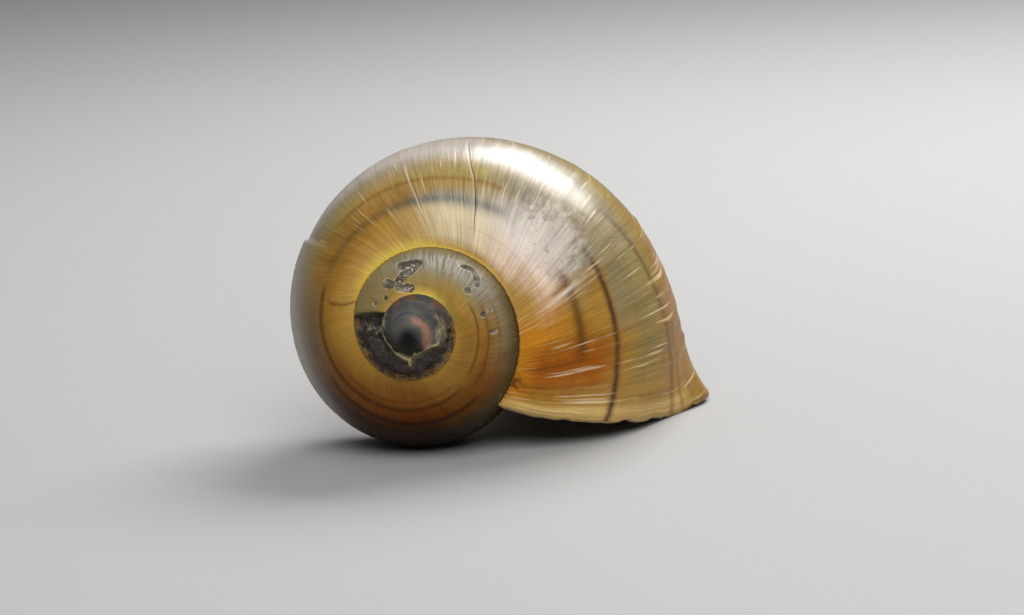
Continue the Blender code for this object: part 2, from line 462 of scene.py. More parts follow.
def growing_tree(skin, edge, lining, end_of_cavity, top_of_umbilicus):
    """The node tree that sweeps, wears and welds the shell."""
    tree = bpy.data.node_groups.new("grow shell", "GeometryNodeTree")
    sockets = tree.interface
    sockets.new_socket("Geometry", in_out="INPUT", socket_type="NodeSocketGeometry")
    sockets.new_socket("Pit Lines", in_out="INPUT", socket_type="NodeSocketObject")
    for name, value in GROWTH.items():
        whole = isinstance(value, int)
        kind = "NodeSocketInt" if whole else "NodeSocketFloat"
        sockets.new_socket(name, in_out="INPUT", socket_type=kind)
    sockets.new_socket("Geometry", in_out="OUTPUT", socket_type="NodeSocketGeometry")
    w = Wires(tree)
    given = tree.nodes.new("NodeGroupInput")
    size = {s.name: Flow(w, s) for s in given.outputs if s.name}
    outline = size["Geometry"]
    shrink = w.sum("LOGARITHM", size["Widening per Turn"], math.e) / TURN
    step = size["Overlap"] / size["Rows per Overlap"]
    counts = w.node("GeometryNodeAttributeDomainSize", {"component": "MESH"}, Geometry=outline)
    columns = w.out(counts, "Point Count")
    rows = size["Cavity Rows"] + size["Edge Rows"] + size["Apex Row"] + 2.0
    grid = w.node("GeometryNodeMeshGrid", None, Vertices_X=rows, Vertices_Y=columns)

    def counted(per_row):
        """Row and column of a point or face, counted from its index."""
        index = w.out(w.node("GeometryNodeInputIndex"))
        row = w.sum("FLOOR", (index + 0.5) / per_row)
        return row, w.sum("ROUND", index - row * per_row)

    row, column = counted(columns)

    def carried(name, kind):
        """An attribute of the outline, read at this column."""
        if name == "position":
            read = w.out(w.node("GeometryNodeInputPosition"))
        else:
            source = tree.nodes.new("GeometryNodeInputNamedAttribute")
            source.data_type = kind
            source.inputs["Name"].default_value = name
            read = w.out(source, "Attribute")
        sample = tree.nodes.new("GeometryNodeSampleIndex")
        sample.data_type = kind
        w.feed(sample.inputs["Geometry"], outline)
        w.feed([s for s in sample.inputs if s.name == "Value" and s.enabled][0], read)
        w.feed(sample.inputs["Index"], column)
        return w.out(sample, "Value")

    place = carried("place", "FLOAT")
    outer = carried("position", "FLOAT_VECTOR")
    inner = carried("inner", "FLOAT_VECTOR")
    outward = carried("outward", "FLOAT_VECTOR")

    # Rows run up the inner face to the lip, round the lip, and back over the outer face.
    cavity = size["Cavity Rows"]
    first_outer = cavity + size["Edge Rows"] + 1.0
    inner_row = w.clear_of(cavity - row, 0.0)
    outer_row = w.clear_of(row - first_outer, 0.0)
    is_outer = row > first_outer - 0.5
    share = w.sum("MULTIPLY", row - cavity, 1.0 / (size["Edge Rows"] + 1.0), clamp=True)
    at_end = w.sum("ADD", column < 0.5, column > columns - 1.5)
    share = w.mixed(at_end, share, share > 0.5, "FLOAT")
    across = w.mixed(share, inner, outer, "VECTOR")
    thickness = w.vector("DISTANCE", inner, outer)
    away = w.vector("LENGTH", w.vector("MULTIPLY", across, (1.0, 1.0, 0.0)))
    bulge = w.sum("SINE", share * math.pi) * size["Edge Rounding"] * thickness * (1.0 - at_end)
    back = (inner_row + outer_row) * step

    # The lip is chipped unevenly, but not where it is welded.
    along_lip = w.xyz(place, size["Seed"], 0.0)
    ragged = w.noise(along_lip, 1.7, 4.0, 0.68)
    free_lip = w.eased(place, 0.0, 0.9) * w.eased(place, PLACES, PLACES - 2.0)
    chip = w.eased(ragged, 0.42, 0.70) * size["Chip Depth"] * free_lip
    chip = chip * w.exp(back / math.radians(-2.2))
    angle = back + chip - bulge / away

    # Wear of the outer face, measured at the size the turn has there.
    grown = w.exp(shrink * back * -1.0)
    length_back = (1.0 - grown) / shrink
    along_back = length_back * LIP_RADIUS
    ridges = w.noise(w.xyz(along_back, place * 0.22, size["Seed"]), 0.75, 3.0, 0.6) - 0.5
    swells = w.noise(w.xyz(along_back, place * 0.35, 8.0), 0.17, 1.0) - 0.5
    raised = ridges * 2.0 * size["Ridge Height"] + swells * 2.0 * size["Swell Height"]
    for degrees, height in RESTS:
        wander = w.noise(w.xyz(place, float(degrees), 1.0), 1.3, 1.0) - 0.5
        wander = wander * math.radians(2.2)
        strength = w.noise(w.xyz(place, 0.0, float(degrees)), 0.9, 0.0) * 2.0 * height * MM
        raised = raised + w.hump(back + wander, math.radians(degrees), REST_WIDTH) * strength
    ledge = w.exp((back - size["Ledge Angle"]) / size["Ledge Fade"]) * size["Ledge Depth"]
    ledge = ledge * (back < size["Ledge Angle"])
    ledge = ledge * w.eased(place, 1.5, 3.5) * w.eased(place, 9.0, 7.0)
    raised = raised - ledge / grown

    # Pits, by how far a point of the plain surface is from their middle lines.
    plain = w.turned(w.vector("SCALE", outer, scale=grown), back)
    pits = w.out(w.node("GeometryNodeObjectInfo", None, Object=size["Pit Lines"]), "Geometry")
    near = w.node("GeometryNodeProximity", {"target_element": "EDGES"})
    w.feed(near.inputs[0], pits)
    w.feed(next(s for s in near.inputs if s.name in ("Source Position", "Sample Position")), plain)
    closest = w.node("GeometryNodeSampleNearest", {"domain": "EDGE"}, Geometry=pits)
    w.feed(closest.inputs["Sample Position"], plain)
    pit_radius = tree.nodes.new("GeometryNodeSampleIndex")
    pit_radius.domain = "EDGE"
    radius_read = tree.nodes.new("GeometryNodeInputNamedAttribute")
    radius_read.inputs["Name"].default_value = "radius"
    w.feed(pit_radius.inputs["Geometry"], pits)
    w.feed(pit_radius.inputs["Value"], w.out(radius_read, "Attribute"))
    w.feed(pit_radius.inputs["Index"], w.out(closest, "Index"))
    pit_radius = w.out(pit_radius, "Value")
    ragged_edge = (w.noise(plain, 1150.0, 3.0, 0.6) - 0.5) * 1.9 * pit_radius
    from_pit = w.out(near, "Distance") - pit_radius + ragged_edge
    sunk = w.eased(from_pit, 0.06 * MM, -0.20 * MM) * w.eased(pit_radius, 0.0, 0.40 * MM)
    raised = raised - sunk * size["Pit Depth"] * (w.noise(plain, 2600.0, 1.0) + 0.5) / grown

    # The broken top: a trough round the ledge, which stands round the smooth dome.
    _, _, off_axis, round_share = polar(w, plain)
    outside = beyond_ledge(w, off_axis, round_share, MM)
    opened = open_side(w, round_share)
    cut = w.eased(back, size["Cut Angle"], size["Cut Angle"] + step)
    trough = cut * w.eased(outside, 0.0, 0.35 * MM) * w.mixed(opened, 0.35, 1.0, "FLOAT")
    crumbs = (w.noise(plain, 1300.0, 3.0, 0.6) - 0.5) * 0.45 * MM * trough
    on_ledge = w.hump(outside, -0.05 * MM, 0.17 * MM) * cut * opened
    top = crumbs - trough * size["Trough Depth"] + on_ledge * size["Broken Ledge Height"]
    raised = raised + top / grown

    # Nothing moves where two turns are welded.
    free = w.eased(place, 0.0, 0.5) * w.eased(place, PLACES, PLACES - 0.8)
    inside_joins = w.eased(place, SUTURE_JOIN[0], SUTURE_JOIN[0] - 0.45)
    overlapped = w.eased(back, size["Overlap"] - math.radians(8), size["Overlap"] - step * 0.1)
    free = free * w.mixed(overlapped, 1.0, inside_joins, "FLOAT")
    worn = w.vector("SCALE", outward, scale=raised * free * is_outer)
    surface = w.vector("ADD", across, worn)

    # Grow back, bend the lip outwards and round off the apex.
    surface = w.vector("SCALE", surface, scale=w.exp(shrink * angle * -1.0))
    surface = w.turned(surface, angle)
    share_of_flare = w.hump(place, size["Flare Place"], size["Flare Width"])
    share_of_flare = w.exp(back / size["Flare Reach"] * -1.0) * share_of_flare
    off_axis = w.vector("LENGTH", w.vector("MULTIPLY", surface, (1.0, 1.0, 0.0)))
    widened = 1.0 + size["Flare"] * share_of_flare / off_axis
    surface = w.vector("MULTIPLY", surface, w.xyz(widened, widened, 1.0))
    x, y, z = w.parts(surface)
    off_axis = w.sum("SQRT", x * x + y * y)
    curvature = size["Dome Curvature"]
    drop = curvature - w.sum("SQRT", w.clear_of(curvature * curvature - off_axis * off_axis, 0.0))
    rows_per_overlap = size["Rows per Overlap"]
    over_dome = w.eased(off_axis, 3.0 * MM, 2.4 * MM) * is_outer
    over_dome = over_dome * (outer_row > rows_per_overlap + 0.5) * (column < SUTURE_IN - 0.5)

    def knob(away):
        return w.hump(away, 0.0, size["Knob Radius"]) * size["Knob Height"]

    dx, dy = x - KNOB_AT[0], y - KNOB_AT[1]
    domed = size["Dome Top"] - drop + knob(w.sum("SQRT", dx * dx + dy * dy))
    surface = w.xyz(x, y, w.mixed(over_dome, z, domed, "FLOAT"))

    # Close the apex, the end of the hollow and the top of the umbilicus to single points.
    def closed(surface, where, point):
        return w.mixed(w.sum("MINIMUM", where, 1.0), surface, point, "VECTOR")

    past_apex = (outer_row > size["Apex Row"] - 0.5) * (column < SUTURE_OUT + 0.5)
    past_apex = past_apex + (outer_row + rows_per_overlap > size["Apex Row"] - 0.5) * (column < 0.5)
    apex = w.xyz(0.0, 0.0, size["Dome Top"] + knob(math.hypot(*KNOB_AT)))
    surface = closed(surface, past_apex * is_outer, apex)
    between = (column > SUTURE_IN - 0.5) * (column < COLUMELLA_IN + 0.5)
    past_joins = (outer_row > cavity + rows_per_overlap - 0.5) * between
    past_cavity = past_joins + (inner_row > cavity - 0.5)
    surface = closed(surface, past_cavity, tuple(end_of_cavity))
    past_umbilicus = (outer_row > size["Umbilicus Row"] - 0.5) * (column > COLUMELLA_OUT - 0.5)
    at_last = (outer_row + rows_per_overlap > size["Umbilicus Row"] - 0.5) * (column > LAST - 0.5)
    surface = closed(surface, (past_umbilicus + at_last) * is_outer, tuple(top_of_umbilicus))

    placed = w.node("GeometryNodeSetPosition", None, Geometry=w.out(grid, "Mesh"), Position=surface)
    shell = w.out(placed)

    def stored(shell, name, kind, domain, value):
        node = tree.nodes.new("GeometryNodeStoreNamedAttribute")
        node.data_type = kind
        node.domain = domain
        node.inputs["Name"].default_value = name
        w.feed(node.inputs["Geometry"], shell)
        w.feed([s for s in node.inputs if s.name == "Value" and s.enabled][0], value)
        return w.out(node, "Geometry")

    # Index-made values are fixed before faces go: the growth coordinates and what wear has bared.
    of_points = tree.nodes.new("GeometryNodeFieldOnDomain")
    of_points.domain = "POINT"
    of_points.data_type = "FLOAT_VECTOR"
    w.feed([s for s in of_points.inputs if s.enabled][0], w.xyz(back / TURN, place / PLACES, 0.0))
    shell = stored(shell, "UVMap", "FLOAT2", "CORNER", w.out(of_points))
    shell = stored(shell, "from_pit", "FLOAT", "POINT", w.sum("MINIMUM", from_pit / MM, 9.0))
    face_row, face_column = counted(columns - 1.0)
    first_joined = first_outer + rows_per_overlap
    shared = (face_column > SUTURE_IN - 0.5) * (face_column < COLUMELLA_IN - 0.5)
    inside = (face_row < cavity + 0.5) + (face_row > first_joined - 0.5) * shared
    round_edge = (face_row > cavity - 0.5) * (face_row < first_outer - 0.5)
    captured = tree.nodes.new("GeometryNodeCaptureAttribute")
    captured.domain = "FACE"
    for name in ("inside", "round edge"):
        captured.capture_items.new("FLOAT", name)
    for i, value in enumerate((shell, inside, round_edge)):
        w.feed(captured.inputs[i], value)
    shell, inside, round_edge = (Flow(w, captured.outputs[i]) for i in range(3))

    at_suture = w.sum("COMPARE", face_column, SUTURE_OUT, 0.5)
    at_columella = w.sum("COMPARE", face_column, COLUMELLA_IN, 0.5)
    hidden = (face_row > first_joined - 0.5) * (at_suture + at_columella)
    whole_faces = {"domain": "FACE", "mode": "ALL"}
    kept = w.node("GeometryNodeDeleteGeometry", whole_faces, Geometry=shell, Selection=hidden)
    merged = w.node("GeometryNodeMergeByDistance", None, Geometry=w.out(kept), Distance=1.5e-6)
    flipped = w.node("GeometryNodeFlipFaces", None, Mesh=w.out(merged))
    rest = w.node("GeometryNodeTransform", None, Geometry=w.out(flipped))
    rest.inputs["Rotation"].default_value = REST_TURN
    rest.inputs["Translation"].default_value = APEX_AT_REST
    x, y, z = w.parts(w.out(w.node("GeometryNodeInputPosition")))
    above = w.xyz(x, y, w.clear_of(z, 0.0))
    on_feet = w.node("GeometryNodeSetPosition", None, Geometry=w.out(rest), Position=above)
    smooth = w.node("GeometryNodeSetShadeSmooth", None, Geometry=w.out(on_feet))
    real = w.out(w.node("GeometryNodeRealizeInstances", None, Geometry=w.out(smooth)))
    real = w.out(w.node("GeometryNodeSetMaterial", None, Geometry=real, Material=None))
    tree.nodes[-1].inputs["Material"].default_value = skin
    for material, where in ((lining, inside), (edge, round_edge)):
        node = w.node("GeometryNodeSetMaterial", None, Geometry=real, Selection=where > 0.5)
        node.inputs["Material"].default_value = material
        real = w.out(node)
    w.feed(tree.nodes.new("NodeGroupOutput").inputs[0], real)
    return tree


def grown_shell(skin, edge, lining):
    """The whole shell as one plain mesh, lying at rest."""
    outline, outer, inner = lip_outline()
    pits = pit_lines()
    end = grown_back(inner, np.full(len(inner), CAVITY_ROWS * STEP)).mean(axis=0)
    top = (0.0, 0.0, outer[-1][2] * math.exp(-SHRINK * UMBILICUS_ROW * STEP))
    growth = outline.modifiers.new("growth", "NODES")
    growth.node_group = growing_tree(skin, edge, lining, end, top)
    for item in growth.node_group.interface.items_tree:
        if item.item_type == "SOCKET" and item.in_out == "INPUT" and item.name in GROWTH:
            growth[item.identifier] = GROWTH[item.name]
        if item.item_type == "SOCKET" and item.name == "Pit Lines":
            growth[item.identifier] = pits
    graph = bpy.context.evaluated_depsgraph_get()
    mesh = bpy.data.meshes.new_from_object(
        outline.evaluated_get(graph), preserve_all_data_layers=True, depsgraph=graph
    )
    mesh.name = "apple_snail_shell"
    if mesh.materials[0] is None:
        mesh.materials.pop(index=0)
    shell = bpy.data.objects.new("apple_snail_shell", mesh)
    bpy.context.scene.collection.objects.link(shell)
    for used in (outline, pits):
        bpy.data.objects.remove(used)
    return shell


# Pigments of skin, wear and dirt, as linear colours.
PIGMENTS = {
    "amber": (0.52, 0.20, 0.012),
    "burnt amber": (0.27, 0.065, 0.004),
    "orange brown": (0.31, 0.082, 0.005),
    "honey": (0.44, 0.25, 0.060),
    "gold": (0.36, 0.195, 0.032),
    "olive gold": (0.29, 0.195, 0.045),
    "olive": (0.24, 0.175, 0.055),
    "grey olive": (0.225, 0.175, 0.085),
    "dark olive": (0.10, 0.072, 0.025),
    "yellow": (0.66, 0.46, 0.08),
    "cream": (0.68, 0.56, 0.34),
    "pink cream": (0.80, 0.60, 0.45),
    "chalk": (0.70, 0.63, 0.56),
    "grey": (0.225, 0.195, 0.14),
    "blue grey": (0.11, 0.115, 0.105),
    "worn grey": (0.20, 0.175, 0.12),
    "pink grey": (0.35, 0.305, 0.26),
    "ochre": (0.27, 0.135, 0.024),
    "brown": (0.19, 0.066, 0.010),
    "red brown": (0.13, 0.030, 0.002),
    "dark brown": (0.038, 0.012, 0.002),
    "black brown": (0.009, 0.004, 0.002),
    "grey brown": (0.15, 0.105, 0.055),
    "purple brown": (0.052, 0.014, 0.011),
    # Marks on the skin.
    "lip margin": (0.72, 0.49, 0.17),
    "rim line": (0.80, 0.60, 0.26),
    "pale_bloom_and_painted_sheen": (0.46, 0.41, 0.37),
    "painted crest highlight": (0.84, 0.66, 0.40),
    "painted_silver_sheen": (0.50, 0.44, 0.35),
    "painted_shine_highlight": (0.46, 0.44, 0.38),
    "suture yellow": (0.56, 0.40, 0.045),
    "dark dirt": (0.05, 0.02, 0.006),
    "rusty dirt": (0.24, 0.10, 0.02),
    "sand": (0.55, 0.45, 0.32),
    "chalk speck": (0.22, 0.19, 0.16),
    "hairline": (0.10, 0.055, 0.03),
    "pale hairline": (0.70, 0.62, 0.50),
    "scratch": (0.50, 0.40, 0.20),
    "lifted skin": (0.62, 0.53, 0.40),
    "crack": (0.045, 0.026, 0.014),
    "flaked": (0.74, 0.66, 0.52),
    "green spot": (0.36, 0.36, 0.07),
    "pit floor": (0.085, 0.068, 0.055),
    "pit crumbs": (0.27, 0.24, 0.20),
    "pit rim": (0.50, 0.45, 0.34),
    # The broken top.
    "black plate": (0.014, 0.010, 0.009),
    "grey plate": (0.070, 0.056, 0.052),
    "seam": (0.24, 0.22, 0.20),
    "trough rim": (0.27, 0.15, 0.045),
    "crumbs": (0.34, 0.30, 0.24),
    "fragments": (0.30, 0.27, 0.19),
    "dome edge": (0.050, 0.050, 0.047),
    "dome": (0.085, 0.083, 0.078),
    "dome mottle": (0.13, 0.12, 0.11),
    "painted pink dome highlight": (0.30, 0.17, 0.11),
    "knob shadow": (0.006, 0.005, 0.004),
    "painted dome shade": (0.012, 0.011, 0.010),
    "dome line": (0.015, 0.014, 0.013),
    "rusty spot": (0.17, 0.065, 0.02),
    "painted highlight spot": (0.26, 0.25, 0.22),
    "dull ledge": (0.20, 0.17, 0.11),
    "pale ledge": (0.46, 0.39, 0.17),
    "cut": (0.06, 0.045, 0.03),
    # The lip's edge, the lining and the floor.
    "edge dirt": (0.30, 0.17, 0.05),
    "edge layers": (0.62, 0.47, 0.24),
    "lining at lip": (0.46, 0.34, 0.19),
    "lining": (0.62, 0.56, 0.47),
    "columella": (0.70, 0.64, 0.54),
    "band through wall": (0.24, 0.13, 0.08),
    "floor": (0.315, 0.311, 0.304),
    "floor mottle": (0.34, 0.336, 0.329),
}

# The skin's ground colour: at some degrees back from the lip, pigments by place from the suture.
ZONES = (
    (4, (0.1, "amber"), (0.7, "gold"), (2.0, "honey"), (3.4, "honey"),
        (4.4, "gold"), (5.2, "gold"), (6.0, "ochre")),
    (20, (0.1, "amber"), (0.6, "orange brown"), (2.1, "orange brown"), (2.9, "gold"),
        (3.7, "olive"), (4.9, "ochre"), (6.0, "brown")),
    (38, (0.1, "amber"), (0.5, "amber"), (1.9, "gold"), (2.5, "gold"),
        (3.0, "grey olive"), (4.2, "olive"), (5.0, "ochre")),
    (58, (0.1, "honey"), (0.5, "honey"), (1.1, "pink cream"), (2.2, "grey"),
        (3.2, "grey olive"), (4.1, "grey olive"), (4.8, "olive gold")),
    (78, (0.1, "honey"), (0.4, "pink cream"), (1.4, "chalk"), (2.4, "grey"),
        (3.2, "grey olive"), (4.0, "grey"), (4.8, "olive")),
    (108, (0.1, "honey"), (0.45, "cream"), (1.3, "cream"), (1.75, "grey"),
        (2.2, "olive gold"), (3.1, "olive"), (3.9, "pink grey")),
    (140, (0.1, "yellow"), (0.5, "honey"), (1.3, "gold"), (2.0, "ochre"),
        (2.7, "olive gold"), (3.4, "grey olive"), (4.0, "pink grey")),
    (175, (0.1, "yellow"), (0.5, "honey"), (1.2, "ochre"), (2.0, "ochre"),
        (2.7, "olive"), (3.6, "grey olive"), (4.4, "pink grey")),
    (215, (0.1, "honey"), (0.6, "gold"), (1.4, "ochre"), (2.0, "grey brown"),
        (2.8, "grey brown"), (3.8, "grey brown"), (4.8, "grey olive")),
    # The zones at 255 and 300 degrees lie on the underside: their darkest pigments are partly the
    # skin's brown and partly painted shade.
    (255, (0.1, "gold"), (0.6, "ochre"), (1.3, "brown"), (2.0, "brown"),
        (2.8, "dark brown"), (4.0, "dark brown"), (5.0, "dark olive")),
    (300, (0.1, "ochre"), (0.6, "brown"), (1.2, "brown"), (2.0, "red brown"),
        (2.8, "dark brown"), (4.0, "black brown"), (5.5, "dark brown")),
    (348, (0.1, "gold"), (0.6, "ochre"), (1.2, "ochre"), (2.0, "brown"),
        (2.8, "brown"), (3.6, "dark olive"), (5.5, "dark brown")),
    (390, (0.1, "gold"), (0.7, "ochre"), (1.4, "ochre"), (2.1, "ochre"),
        (3.0, "grey olive"), (3.9, "dark olive"), (4.3, "dark brown")),
    (425, (0.1, "olive gold"), (0.8, "gold"), (1.4, "olive gold"), (2.2, "worn grey"),
        (3.2, "worn grey"), (3.9, "grey olive"), (4.3, "dark olive")),
    (470, (0.1, "yellow"), (0.7, "olive gold"), (1.4, "olive"), (2.3, "worn grey"),
        (3.3, "worn grey"), (3.9, "grey olive"), (4.3, "olive")),
    (530, (0.1, "honey"), (0.6, "olive gold"), (1.3, "grey olive"), (2.2, "olive"),
        (3.2, "grey olive"), (3.9, "grey olive"), (4.3, "ochre")),
)

# The base, hidden in the photograph, by place from the suture. It is the same all the way round.
BASE = ((7.0, "olive gold"), (8.2, "ochre"), (9.6, "olive gold"), (12.0, "cream"))

# Spiral bands: pigment, strength, half width in places, degrees back and place where each starts
# and where it ends.
BANDS = (
    ("purple brown", 0.98, 0.090, (-9, 2.70), (60, 2.60)),
    ("dark brown", 0.80, 0.15, (18, 1.70), (66, 1.60)),
    ("purple brown", 0.55, 0.10, (-9, 5.00), (66, 3.90)),
    ("purple brown", 0.45, 0.06, (-9, 5.45), (33, 4.60)),
    ("grey brown", 0.50, 0.07, (-9, 5.80), (16, 5.35)),
    ("brown", 0.70, 0.085, (84, 2.44), (166, 2.50)),
    ("blue grey", 0.95, 0.16, (84, 1.72), (138, 1.66)),
    ("dark olive", 0.75, 0.17, (122, 1.70), (190, 1.55)),
    ("dark brown", 0.75, 0.12, (188, 1.52), (345, 1.60)),
    ("black brown", 0.80, 0.14, (236, 2.08), (345, 2.66)),
    ("red brown", 0.60, 0.07, (246, 1.15), (345, 1.15)),
    ("red brown", 0.80, 0.085, (350, 1.40), (424, 1.42)),
    ("red brown", 0.75, 0.08, (344, 2.04), (416, 2.05)),
    ("brown", 0.50, 0.10, (350, 2.75), (420, 2.75)),
    ("red brown", 0.55, 0.11, (-9, 6.55), (345, 6.20)),
    ("brown", 0.60, 0.07, (-9, 7.25), (345, 7.00)),
    ("red brown", 0.60, 0.16, (-9, 8.30), (345, 8.10)),
    ("brown", 0.50, 0.08, (-9, 9.25), (345, 9.15)),
    ("brown", 0.40, 0.10, (-9, 10.10), (345, 10.10)),
)

# Where single marks and changes of the skin lie: degrees back from the lip, places on the outline.
PENULTIMATE_TOP = 452.0
OLDER_TURNS_FROM = 336.0
CHALKY_MIDDLE, CHALKY_REACH = (67.0, 2.0), (21.0, 1.35)
HAIRLINE = 125.4
SCRATCH = 425.8
FLAKED = (48.2, 1.5)
GREEN_SPOT = (98.2, 2.85)

# The long crack and the scar at the suture: where each starts in degrees, the degrees and the
# places that its line spans, and the line.
CRACK_FROM, CRACK_SPAN, CRACK_PLACES = 90.0, 20.0, 5.0
CRACK_LINE = (
    (0, 0.43),
    (0.04, 0.45),
    (0.2, 0.53),
    (0.32, 0.52),
    (0.5, 0.575),
    (0.6, 0.65),
    (0.76, 0.72),
    (1, 0.73),
)
SCAR_FROM, SCAR_SPAN, SCAR_PLACES = 190.0, 20.0, 2.0
SCAR_LINE = ((0, 0.68), (0.05, 0.70), (0.25, 0.76), (0.5, 0.66), (0.75, 0.40), (1, 0.25))

# Spots of the broken top, in mm from the apex as seen along the coil axis.
LEDGE_SPIKE = (0.02, -3.62)
RUSTY_SPOTS = (((0.0, 3.7), 0.45), ((3.2, 3.2), 0.75), ((-1.6, 3.1), 0.40))


def growth_place(w):
    """Degrees back from the lip and place on its outline, from the growth coordinates."""
    coordinates = w.out(w.node("ShaderNodeUVMap", {"uv_map": "UVMap"}))
    turn, place, _ = w.parts(coordinates)
    return turn * 360.0, place * PLACES


def shader_group(name, inputs, outputs):
    """A new shader node group with named float sockets."""
    tree = bpy.data.node_groups.new(name, "ShaderNodeTree")
    for in_out, titles in (("INPUT", inputs), ("OUTPUT", outputs)):
        for title in titles:
            tree.interface.new_socket(title, in_out=in_out, socket_type="NodeSocketFloat")
    w = Wires(tree)
    given = tree.nodes.new("NodeGroupInput")
    result = tree.nodes.new("NodeGroupOutput")
    return tree, w, {s.name: Flow(w, s) for s in given.outputs if s.name}, result


def growth_lines():
    """Fine and broad growth lines that keep their real spacing on every turn."""
    inputs, outputs = ("Degrees", "Place", "Lines per mm"), ("Fine", "Broad", "Patchy", "Crests")
    tree, w, given, result = shader_group("growth lines", inputs, outputs)
    place, lines_per_mm = given["Place"], given["Lines per mm"]
    shrink = w.exp(given["Degrees"] * (-SHRINK * math.pi / 180))
    rings = (1.0 - shrink) * (LIP_RADIUS / SHRINK)
    along = rings + w.noise(w.xyz(rings * 0.12, place * 0.9, 3.0), 1.0, 2.0) * 0.4
    fine = w.noise(w.xyz(along * lines_per_mm, place * 0.36, 0.0), 1.0, 4.0, 0.70)
    broad = w.noise(w.xyz(along * 0.55, place * 0.45, 5.0), 1.0, 2.0, 0.6)
    patchy = w.noise(w.xyz(rings * 0.16, place * 1.1, 9.0), 1.0, 3.0, 0.55)
    crest = w.noise(w.xyz(along * lines_per_mm * 0.9, place * 0.30, 12.0), 1.0, 1.0, 0.5)
    somewhere = w.noise(w.xyz(along * 0.45, place * 0.75, 14.0), 1.0, 1.0)
    crest = w.eased(crest, 0.56, 0.70) * w.eased(somewhere, 0.46, 0.62)
    for name, flow in zip(outputs, (w.eased(fine, 0.26, 0.74), broad, patchy, crest)):
        w.feed(result.inputs[name], flow)
    return tree


def spiral_band():
    """One band of pigment along the growth, with soft sides and ends."""
    names = ("Degrees", "Place", "Start", "Start Place", "End", "End Place", "Half Width")
    tree, w, given, result = shader_group("spiral band", names, ("Mask",))
    degrees, start, end = given["Degrees"], given["Start"], given["End"]
    share = w.sum("DIVIDE", degrees - start, end - start, clamp=True)
    middle = given["Start Place"] + (given["End Place"] - given["Start Place"]) * share
    wander = (w.noise(w.xyz(degrees * 0.05, given["Place"], 0.0), 1.0, 2.0) - 0.5) * 0.06
    across = w.hump(given["Place"], middle + wander, given["Half Width"])
    ends = w.eased(degrees, start, start + 9.0) * w.eased(degrees, end, end - 12.0)
    w.feed(result.inputs["Mask"], across * ends)
    return tree


def coil_position(w, position):
    """Where a point is in the coil's own frame, in mm."""
    node = w.node("ShaderNodeMapping", {"vector_type": "TEXTURE"}, Vector=position)
    node.inputs["Location"].default_value = APEX_AT_REST
    node.inputs["Rotation"].default_value = REST_TURN
    node.inputs["Scale"].default_value = (MM, MM, MM)
    return w.out(node)


def tint(name):
    """A pigment as a node's colour."""
    return (*PIGMENTS[name], 1)


def ramp(w, value, stops):
    """Pigments along a value from 0 to 1."""
    node = w.node("ShaderNodeValToRGB")
    elements = node.color_ramp.elements
    while len(elements) < len(stops):
        elements.new(0.5)
    for element, (at, name) in zip(elements, stops):
        element.position = at
        element.color = tint(name)
    w.feed(node.inputs[0], value)
    return Flow(w, node.outputs["Color"])


def blob(w, x, y, centre, radius, edge, ragged):
    """A soft-edged spot in the plane across the coil axis, in mm."""
    dx, dy = x - centre[0], y - centre[1]
    away = w.sum("SQRT", dx * dx + dy * dy) + ragged
    return w.eased(away, radius + edge, radius - edge)


class Paint:
    """A material's colour as it builds up, with what its marks are measured by."""

    def __init__(self, name, lines, lines_per_mm, place_scale=1.0):
        self.material = bpy.data.materials.new(name)
        self.material.use_nodes = True
        self.surface = self.material.node_tree.nodes["Principled BSDF"]
        self.w = w = Wires(self.material.node_tree)
        self.degrees, self.place = growth_place(w)
        lined = w.group(lines, Degrees=self.degrees, Place=self.place * place_scale)
        lined.inputs["Lines per mm"].default_value = lines_per_mm
        self.fine, self.broad, self.patchy, self.crests = (Flow(w, s) for s in lined.outputs)
        self.position = w.out(w.node("ShaderNodeTexCoord"), "Object")
        self.colour = None

    def lay(self, mask, colour):
        """Lay a colour, or a pigment by its name, over what is there."""
        over = tint(colour) if isinstance(colour, str) else colour
        self.colour = self.w.mixed(mask, self.colour, over)

    def shade(self, tone):
        """Make the colour lighter or darker."""
        self.colour = self.w.vector("SCALE", self.colour, scale=tone)

    def within(self, value, start, full, fading, gone):
        """A mask that rises from start to full and falls again from fading to gone."""
        return self.w.eased(value, start, full) * self.w.eased(value, gone, fading)

    def finish(self, roughness, relief):
        """Feed the shader: the colour, how rough it is, and its relief in mm."""
        w, surface = self.w, self.surface
        w.feed(surface.inputs["Base Color"], self.colour)
        w.feed(surface.inputs["Roughness"], roughness)
        bump = w.node("ShaderNodeBump", None, Height=relief, Strength=1.0, Distance=MM)
        w.feed(surface.inputs["Normal"], w.out(bump, "Normal"))
        return self.material


def band_masks(paint, band, bands, longer=0.0, wider=1.0):
    """Each band's pigment, and its mask times its strength."""
    w = paint.w
    for name, strength, half_width, (start, start_place), (end, end_place) in bands:
        node = w.group(band, Degrees=paint.degrees, Place=paint.place)
        w.feed(node.inputs["Start"], float(start))
        w.feed(node.inputs["Start Place"], start_place)
        w.feed(node.inputs["End"], float(end) + longer)
        w.feed(node.inputs["End Place"], end_place)
        w.feed(node.inputs["Half Width"], half_width * wider)
        yield name, Flow(w, node.outputs["Mask"]) * strength


def ground(skin):
    """Ground colour, zone by zone back from the lip."""
    w = skin.w
    at = w.sum("MULTIPLY", skin.place + (skin.patchy - 0.5) * 0.35, 1.0 / PLACES, clamp=True)
    reach = skin.degrees + (skin.broad - 0.5) * 14.0 + (skin.patchy - 0.5) * 16.0
    for before, zone in zip((None, *ZONES), ZONES):
        colours = ramp(w, at, [(p / PLACES, name) for p, name in zone[1:] + BASE])
        if before is None:
            skin.colour = colours
        else:
            skin.lay(w.eased(reach, float(before[0]), float(zone[0])), colours)


